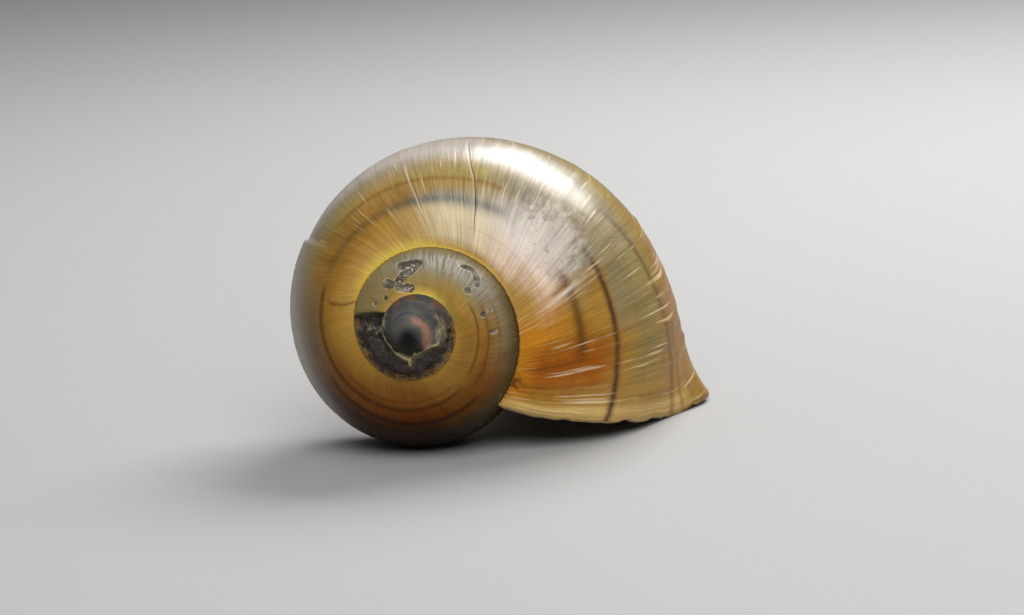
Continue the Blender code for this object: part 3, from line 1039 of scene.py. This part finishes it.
def lip_margin(skin):
    """The lip's pale margin, and the raised line behind it, whose mask is given back."""
    w, degrees, place, patchy = skin.w, skin.degrees, skin.place, skin.patchy
    margin = w.eased(degrees + (skin.fine - 0.5) * 1.8, 5.8, 3.4) * w.eased(place, 6.0, 4.6)
    skin.lay(margin * (0.42 + patchy * 0.6), "lip margin")
    rim_line = w.hump(degrees + (skin.broad - 0.5) * 2.0, 6.0, 0.30) * w.eased(patchy, 0.35, 0.6)
    rim_line = rim_line * w.eased(place, 6.0, 4.6)
    skin.lay(rim_line * 0.5, "rim line")
    return rim_line


def pigment_bands(skin, band):
    """Faint spiral lines, then the bands, both uneven along the growth lines."""
    w = skin.w
    spiral = w.noise(w.xyz(skin.place * 5.5, skin.degrees * 0.006, 2.0), 1.0, 3.0, 0.7)
    skin.lay(w.eased(spiral, 0.56, 0.80) * 0.30, "red brown")
    uneven = 0.65 + skin.fine * 0.35 + (skin.patchy - 0.5) * 0.5
    for name, mask in band_masks(skin, band, BANDS):
        skin.lay(w.sum("MULTIPLY", mask, uneven, clamp=True), name)


def growth_tones(skin):
    """Growth lines lighten and darken the skin, their pale crests are painted highlights on the lit
    side, and the upper rim gets a pale bloom that is partly painted sheen.
    """
    w, degrees, place, fine = skin.w, skin.degrees, skin.place, skin.fine
    # Near the top of the turn before the last the stripes are stronger, partly as painted highlight
    # streaks.
    striped = w.hump(degrees, PENULTIMATE_TOP, 45.0) * w.eased(place, 1.5, 2.4) * 0.8
    striped = w.eased(degrees, 215.0, 150.0) + striped
    tone = 1.0 + (fine - 0.5) * w.mixed(striped, 0.14, 0.44, "FLOAT")
    skin.shade(tone + (skin.broad - 0.5) * 0.50 + (skin.patchy - 0.5) * 0.35)
    skin.shade(0.93 + skin.grain * 0.14)
    # A pale bloom along the upper rim: partly worn pale skin, partly painted sheen.
    pale_bloom_and_painted_sheen = w.hump(place + w.eased(degrees, 150.0, 205.0), 4.5, 0.85)
    pale_bloom_and_painted_sheen = pale_bloom_and_painted_sheen * w.eased(degrees, 95.0, 125.0) * w.eased(degrees, 270.0, 215.0)
    skin.lay(pale_bloom_and_painted_sheen * (0.42 + skin.patchy * 0.5), "pale_bloom_and_painted_sheen")
    # Painted highlights: pale lines on the growth crests, stronger on the lit upper side.
    crests = skin.crests * w.eased(degrees, 215.0, 170.0)
    strength = w.eased(degrees, 185.0, 110.0, 0.20, 0.42) + w.eased(degrees, 75.0, 50.0) * 0.16
    skin.lay(crests * strength, "painted crest highlight")
    return crests


def painted_sheens_and_stains(skin):
    """Painted silvery sheens and highlights on the two upper turns, and rust near the lip."""
    w, degrees, place, fine = skin.w, skin.degrees, skin.place, skin.fine
    uneven = fine + skin.patchy * 0.6
    # Painted sheen: silvery patches on the top of the last turn.
    painted_silver_sheen = w.hump(degrees, 104.0, 26.0) * w.hump(place, 1.45, 0.75) * w.eased(uneven, 0.55, 1.05)
    skin.lay(painted_silver_sheen * 0.45, "painted_silver_sheen")
    # Painted highlight on the top of the turn before the last.
    painted_shine_highlight = w.hump(degrees, PENULTIMATE_TOP, 38.0) * w.hump(place, 2.75, 0.75)
    skin.lay(painted_shine_highlight * w.eased(uneven, 0.62, 1.00) * 0.55, "painted_shine_highlight")
    rust = w.noise(w.xyz(degrees * 0.7, place * 2.2, 21.0), 1.0, 3.0, 0.65)
    rust = w.eased(rust, 0.50, 0.64) * w.hump(degrees, 17.0, 9.0) * w.hump(place, 0.7, 1.0)
    skin.lay(rust * 0.85, "burnt amber")
    stain = w.hump(degrees + (fine - 0.5) * 6.0, 14.0, 5.0) * w.hump(place, 0.05, 0.26)
    skin.lay(stain * w.eased(skin.mottle, 0.40, 0.56) * 0.8, "purple brown")


def suture(skin):
    """Yellow skin and a thin line of dirt at the suture, painted shade in the crease beside it, and
    grains caught under it.
    """
    w, degrees, place = skin.w, skin.degrees, skin.place
    grain, mottle = skin.grain, skin.mottle
    yellow_side = skin.within(degrees, 60.0, 88.0, 190.0, 250.0)
    skin.lay(w.hump(place, 0.07, 0.055) * yellow_side * 0.6, "suture yellow")
    dirt_width = 0.010 + w.eased(grain + mottle * 0.6, 0.66, 0.98) * 0.055
    dirt = w.mixed(w.eased(mottle, 0.45, 0.58), tint("dark dirt"), tint("rusty dirt"))
    skin.lay(w.eased(place, dirt_width, dirt_width * 0.4) * 0.85, dirt)
    # Painted shade: darker brown in the crease where each older turn runs under the next.
    under = w.eased(place, 4.10 + grain * 0.12, 4.22) * w.eased(degrees, OLDER_TURNS_FROM, 342.0)
    skin.lay(under * 0.85, "dark brown")
    grains = w.eased(w.noise(skin.position, 3300.0, 1.0), 0.66, 0.72) * w.hump(place, 4.0, 0.22)
    grains = grains * skin.within(degrees, OLDER_TURNS_FROM, 340.0, 385.0, 425.0)
    skin.lay(grains * 0.8, "sand")
    return grains


def chalky_patch(skin):
    """A chalky patch, rubbed through the skin and speckled."""
    w, position = skin.w, skin.position
    (middle, middle_place), (reach, places) = CHALKY_MIDDLE, CHALKY_REACH
    a, b = (skin.degrees - middle) / reach, (skin.place - middle_place) / places
    streaks = w.noise(w.xyz(skin.degrees * 0.55, skin.place * 2.6, 0.0), 1.0, 4.0, 0.6)
    worn = w.eased(1.15 - w.sum("SQRT", a * a + b * b) + (streaks - 0.5) * 1.5, 0.15, 0.85)
    skin.lay(worn * (0.28 + skin.fine * 0.52), "chalk")
    cloud = w.noise(position, 420.0, 3.0, 0.6)
    specks = w.noise(position, 1500.0, 5.0, 0.7) + (cloud - 0.5) * 0.7
    skin.lay(w.eased(specks, 0.52, 0.66) * worn * 0.55, "chalk speck")
    return worn


def cracks(skin):
    """The long crack, a scar at the suture, a hairline, a scratch and a flaked spot with a painted
    shadow beside it.

    Gives back their relief in mm.
    """
    w, degrees, place = skin.w, skin.degrees, skin.place
    wavering = degrees + (skin.broad - 0.5) * 1.6
    hairline = w.hump(wavering, HAIRLINE, 0.22) * skin.within(place, 1.0, 1.5, 2.7, 3.3)
    skin.lay(hairline * 0.7, "hairline")
    beside = w.hump(wavering, HAIRLINE + 0.9, 0.25) * skin.within(place, 0.9, 1.4, 3.0, 3.6)
    skin.lay(beside * 0.6, "pale hairline")
    scratch = w.hump(degrees + place * 2.2, SCRATCH, 0.30) * skin.within(place, 0.2, 0.5, 1.4, 1.8)
    skin.lay(scratch * 0.6, "scratch")

    path = w.curve(place / CRACK_PLACES, CRACK_LINE) * CRACK_SPAN + CRACK_FROM
    from_crack = degrees - path + (skin.broad - 0.5) * 1.1
    deep = skin.within(place, 0.4, 1.2, 3.9, 4.6)
    crack = w.hump(from_crack, 0.0, 0.20) * deep
    lifted = w.hump(from_crack, 0.70, 0.30) * deep
    from_scar = degrees - (w.curve(place / SCAR_PLACES, SCAR_LINE) * SCAR_SPAN + SCAR_FROM)
    scar = w.hump(from_scar + (skin.patchy - 0.5) * 6.0, 0.0, 1.2)
    scar = scar * w.eased(place, 1.40, 1.0) * 0.75
    skin.lay(lifted * 0.40, "lifted skin")
    skin.lay(crack * 0.95, "crack")
    skin.lay(scar * 0.75, "purple brown")

    flaked = w.hump(degrees, FLAKED[0], 0.9) * w.hump(place, FLAKED[1], 0.42)
    skin.lay(flaked * 0.8, "flaked")
    # Painted shadow: brown just beside the flaked spot.
    beside = w.hump(degrees, FLAKED[0] + 2.2, 0.8) * w.hump(place, FLAKED[1] - 0.15, 0.40)
    skin.lay(beside * 0.6, "brown")
    green = w.hump(degrees, GREEN_SPOT[0], 1.6) * w.hump(place, GREEN_SPOT[1], 0.16)
    skin.lay(green * 0.5, "green spot")
    return lifted * 0.012 - crack * 0.05 - scar * 0.02 + flaked * 0.10


def pit_floors(skin):
    """Pits with grey crumbly floors and pale rims."""
    w, grain, mottle = skin.w, skin.grain, skin.mottle
    attribute = w.node("ShaderNodeAttribute", {"attribute_name": "from_pit"})
    from_pit = Flow(w, attribute.outputs["Fac"]) + (grain - 0.5) * 0.22
    pit = w.eased(from_pit, 0.06, -0.04)
    crumbly = w.eased(mottle + (grain - 0.5) * 0.3, 0.42, 0.66)
    skin.lay(w.hump(from_pit, 0.13, 0.08) * w.eased(mottle, 0.46, 0.56) * 0.60, "pit rim")
    skin.lay(pit * 0.94, w.mixed(crumbly, tint("pit floor"), tint("pit crumbs")))
    return pit


def trough_colour(skin, x, y, plates, seams):
    """The black trough of the broken top: plates, seams, crumbs and a brown rim."""
    w, grain, mottle, place = skin.w, skin.grain, skin.mottle, skin.place
    trough = w.mixed(plates, tint("black plate"), tint("grey plate"))
    seam = w.eased(seams, 0.06, 0.01) * w.eased(mottle, 0.50, 0.60) * 0.6
    trough = w.mixed(seam, trough, tint("seam"))
    near_rim = w.eased(place + (grain - 0.5) * 1.5 + (mottle - 0.5) * 2.2, 3.75, 4.30)
    trough = w.mixed(near_rim * 0.75, trough, tint("trough rim"))
    trough = w.mixed(w.eased(grain, 0.62, 0.68) * 0.6, trough, tint("crumbs"))
    fragments = w.hump(y + (mottle - 0.5) * 0.8, 0.15, 0.45) * w.eased(x, -2.9, -3.6)
    fragments = fragments * w.eased(mottle, 0.44, 0.56) * w.eased(place, 4.0, 3.6)
    return w.mixed(fragments * 0.8, trough, tint("fragments"))


def dome_colour(skin, x, y, off_axis, round_share, ragged):
    """The smooth dark dome, with a painted pink highlight crescent round the painted shadow of its
    knob, and painted shade on its lower side.
    """
    w, mottle = skin.w, skin.mottle
    dome = w.mixed(w.eased(off_axis, 3.6, 0.9), tint("dome edge"), tint("dome"))
    dome = w.mixed(w.eased(mottle, 0.45, 0.75) * 0.4, dome, tint("dome mottle"))
    # Painted highlight: a pink crescent on the dome's lit right side.
    crescent = 1.0 - blob(w, x, y, (0.45, -0.75), 1.35, 0.35, ragged)
    crescent = blob(w, x, y, (0.55, -0.75), 2.15, 0.35, ragged) * crescent
    crescent = crescent * w.eased(x + y * 0.35, 0.5, 1.3)
    dome = w.mixed(crescent * 0.95, dome, tint("painted pink dome highlight"))
    knob_shadow = blob(w, x, y, (0.15, -1.15), 1.15, 0.7, ragged * 0.4)
    dome = w.mixed(knob_shadow, dome, tint("knob shadow"))
    # Painted shade over the dome's lower side.
    in_shade = w.eased(y + x * 0.35 + (mottle - 0.5) * 1.2, -0.4, -2.2) * (1.0 - crescent)
    dome = w.mixed(in_shade * 0.75, dome, tint("painted dome shade"))
    spiral_line = w.hump(off_axis + round_share * 0.9, 2.62, 0.07) * w.eased(y, 0.6, 1.2)
    dome = w.mixed(spiral_line * 0.6, dome, tint("dome line"))
    for centre, radius in RUSTY_SPOTS:
        spot = blob(w, x, y, centre, radius, 0.3, ragged * 1.2)
        dome = w.mixed(spot * 0.6, dome, tint("rusty spot"))
    # Painted highlight: a pale grey spot on the slope right of the dome.
    pale = blob(w, x * 1.4, y, (5.2, -0.6), 1.05, 0.4, ragged * 1.5)
    return w.mixed(pale * 0.6, dome, tint("painted highlight spot"))


def broken_top(skin):
    """The broken top: the trough, the dome and the pale ledge between them.

    Gives back where the top is broken, its relief in mm, and the distance from the axis in mm.
    """
    w, grain, mottle, position = skin.w, skin.grain, skin.mottle, skin.position
    x, y, off_axis, round_share = polar(w, coil_position(w, position))
    ragged = (grain - 0.5) * 0.5 + (mottle - 0.5) * 0.5
    outside = beyond_ledge(w, off_axis, round_share, 1.0) + ragged * 0.75
    ledge_stands = open_side(w, round_share)
    broken = w.eased(skin.degrees, 554.4, 555.2)
    warp = w.vector("SCALE", w.xyz(mottle, grain, mottle), scale=0.0009)
    warped = w.vector("ADD", position, warp)
    plates = w.cells(warped, 430.0, "F1")
    seams = w.cells(warped, 430.0, "DISTANCE_TO_EDGE")

    is_trough = w.eased(outside, -0.05, 0.15) * ledge_stands
    dome = dome_colour(skin, x, y, off_axis, round_share, ragged)
    top = w.mixed(is_trough, dome, trough_colour(skin, x, y, plates, seams))
    ledge = w.hump(outside, -0.04, 0.08 + w.eased(plates, 0.35, 0.65) * 0.22) * ledge_stands
    ledge = w.clear_of(ledge, blob(w, x, y, LEDGE_SPIKE, 0.42, 0.25, ragged * 0.5))
    ledge_tone = w.mixed(w.eased(mottle, 0.40, 0.62), tint("dull ledge"), tint("pale ledge"))
    top = w.mixed(ledge * w.eased(grain, 0.28, 0.42) * 0.95, top, ledge_tone)
    skin.lay(broken, top)
    cut = w.hump(skin.degrees, 553.6, 1.3) * w.eased(skin.place, 4.3, 3.9)
    skin.lay(cut * 0.8, "cut")
    relief = is_trough * (grain * 0.10 + plates * 0.22 + w.eased(seams, 0.0, 0.12) * 0.08)
    return broken, broken * (relief + ledge * 0.10), off_axis


def periostracum(lines, band):
    """The skin: banded amber to olive, chalky where it is worn, black where the top is broken."""
    skin = Paint("periostracum", lines, 2.3)
    w, degrees, place, fine, surface = skin.w, skin.degrees, skin.place, skin.fine, skin.surface
    skin.grain = w.noise(skin.position, 5200.0, 3.0, 0.6)
    skin.mottle = w.noise(skin.position, 900.0, 3.0, 0.6)
    ground(skin)
    rim_line = lip_margin(skin)
    pigment_bands(skin, band)
    lit_crests = growth_tones(skin)
    painted_sheens_and_stains(skin)
    grains = suture(skin)
    worn = chalky_patch(skin)
    crack_relief = cracks(skin)
    pit = pit_floors(skin)
    broken, top_relief, off_axis = broken_top(skin)
    whole = 1.0 - broken

    # Gloss, duller where the skin is worn or broken.
    rough = 0.34 + (fine - 0.5) * 0.16 + (skin.patchy - 0.5) * 0.10
    rough = w.mixed(worn * 0.8, rough, 0.58, "FLOAT")
    rough = w.mixed(pit, rough, 0.75, "FLOAT")
    top_rough = w.mixed(w.eased(off_axis, 2.9, 2.3), 0.62, 0.42, "FLOAT")
    rough = w.mixed(broken, rough, top_rough, "FLOAT")
    surface.inputs["Specular IOR Level"].default_value = 0.09
    surface.inputs["Specular Tint"].default_value = (1.0, 0.86, 0.66, 1)
    surface.inputs["Coat Roughness"].default_value = 0.29
    glossy = skin.within(degrees, 30.0, 58.0, 110.0, 178.0) * w.eased(place, 2.3, 3.6)
    older_gloss = skin.within(degrees, 350.0, 405.0, 450.0, 500.0) * w.eased(place, 1.6, 2.6)
    gloss = 0.07 + glossy * (0.55 + fine * 0.45) * 0.93 + older_gloss * (0.06 + fine * 0.20)
    gloss = gloss + skin.crests * 0.10
    w.feed(surface.inputs["Coat Weight"], gloss * whole * (1.0 - pit) + broken * 0.12)

    relief = (fine * 0.030 + skin.broad * 0.035 + lit_crests * 0.022 + crack_relief) * whole
    relief = relief - w.noise(skin.position, 2100.0, 4.0) * 0.04 * worn
    relief = relief - pit * (1.4 - skin.grain) * 0.12
    return skin.finish(rough, relief + top_relief + rim_line * 0.04 + grains * 0.08)


def lip_edge(lines):
    """The chipped edge of the lip, where the pale layers of the wall show."""
    edge = Paint("lip_edge", lines, 6.0, place_scale=6.0)
    w = edge.w
    grain = w.noise(edge.position, 2400.0, 3.0)
    edge.colour = w.mixed(grain, tint("edge dirt"), tint("edge layers"))
    return edge.finish(0.45 + edge.fine * 0.2, grain * 0.12)


def nacre(lines, band):
    """The smooth lining, pale with the outer bands showing faintly through near the lip."""
    lining = Paint("lining", lines, 1.1)
    w, fine, patchy, surface = lining.w, lining.fine, lining.patchy, lining.surface
    inwards = w.eased(lining.degrees, 0.0, 70.0)
    lining.colour = w.mixed(inwards, tint("lining at lip"), tint("lining"))
    lining.lay(w.eased(lining.place, 9.5, 12.0) * 0.8, "columella")
    for _, mask in band_masks(lining, band, BANDS[:5], longer=60.0, wider=1.8):
        lining.lay(mask * 0.5, "band through wall")
    lining.shade(0.85 + patchy * 0.2 + fine * 0.1)
    surface.inputs["Coat Weight"].default_value = 0.35
    surface.inputs["Coat Roughness"].default_value = 0.1
    return lining.finish(0.2 + patchy * 0.15, fine * 0.02)


def pale_floor():
    """Matt pale card with a trace of mottling."""
    material = bpy.data.materials.new("pale_floor")
    material.use_nodes = True
    surface = material.node_tree.nodes["Principled BSDF"]
    w = Wires(material.node_tree)
    tone = w.noise(w.out(w.node("ShaderNodeTexCoord"), "Object"), 6.0, 3.0)
    w.feed(surface.inputs["Base Color"], w.mixed(tone, tint("floor"), tint("floor mottle")))
    surface.inputs["Roughness"].default_value = 0.8
    return material


lines = growth_lines()
band = spiral_band()
shell = grown_shell(periostracum(lines, band), lip_edge(lines), nacre(lines, band))
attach(shell, "root")
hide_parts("shell")


# The studio and the camera, in m and degrees. The camera's place and aim are in mm from the apex:
# to the right in the photograph, up in it, and towards the eye.
FLOOR_SIZE = 6.0
SHELL_MIDDLE = (0, 0, 0.018)
CAMERA_LEAN, CAMERA_RISE = 3.99, 11.52
CAMERA_AT, CAMERA_AIM = (0, 0, 396), (12.89, 2.77, -24)
LENS = 122.03


def studio():
    """A pale floor, a light behind and above, a weaker one in front and a broad one overhead."""
    half = FLOOR_SIZE / 2
    corners = ((-half, -half, 0), (half, -half, 0), (half, half, 0), (-half, half, 0))
    mesh = bpy.data.meshes.new("floor")
    mesh.from_pydata(corners, [], [(0, 1, 2, 3)])
    floor = bpy.data.objects.new("floor", mesh)
    bpy.context.scene.collection.objects.link(floor)
    mesh.materials.append(pale_floor())
    lights = (
        # name, place, width and depth in m, power in W
        ("behind", (0.20, 0.25, 0.33), (0.34, 0.20), 2.7),
        ("in_front", (0.05, -0.42, 0.55), (0.60, 0.60), 4.8),
        ("ceiling", (0.0, 0.6, 1.30), (2.40, 1.80), 7.0),
    )
    for name, place, (width, depth), power in lights:
        data = bpy.data.lights.new(name, "AREA")
        data.shape = "RECTANGLE"
        data.size = width
        data.size_y = depth
        data.energy = power
        lamp = bpy.data.objects.new(name, data)
        lamp.location = place
        towards_shell = Vector(SHELL_MIDDLE) - Vector(place)
        lamp.rotation_euler = towards_shell.to_track_quat("-Z", "Y").to_euler()
        bpy.context.scene.collection.objects.link(lamp)
    world = bpy.data.worlds.new("studio")
    world.use_nodes = True
    background = world.node_tree.nodes["Background"]
    background.inputs["Color"].default_value = (0.9, 0.93, 1.0, 1)
    background.inputs["Strength"].default_value = 0.10
    bpy.context.scene.world = world
    bpy.context.scene.view_settings.view_transform = "Standard"


def camera():
    """The photograph's viewpoint: level, nearly along the coil axis, a little rolled."""
    lean, rise = math.radians(CAMERA_LEAN), math.radians(CAMERA_RISE)
    level = math.cos(rise)
    up = Vector((-math.sin(lean) * level, math.cos(lean) * level, math.sin(rise)))
    towards = Vector((0, 0, 1))
    across_floor = -(towards - up * towards.dot(up)).normalized()
    side = across_floor.cross(up)
    seen = Matrix((side, across_floor, up))
    eye = Vector(CAMERA_AT) * MM
    back = (eye - Vector(CAMERA_AIM) * MM).normalized()
    right = Vector((0, 1, 0)).cross(back).normalized()
    turned = Matrix((right, back.cross(right), back)).transposed()
    data = bpy.data.cameras.new("camera")
    data.sensor_width = 36
    data.lens = LENS
    data.clip_start = 0.01
    made = bpy.data.objects.new("camera", data)
    place = seen @ eye + Vector(APEX_AT_REST)
    made.matrix_world = Matrix.Translation(place) @ (seen @ turned).to_4x4()
    bpy.context.scene.collection.objects.link(made)
    bpy.context.scene.camera = made


studio()
camera()
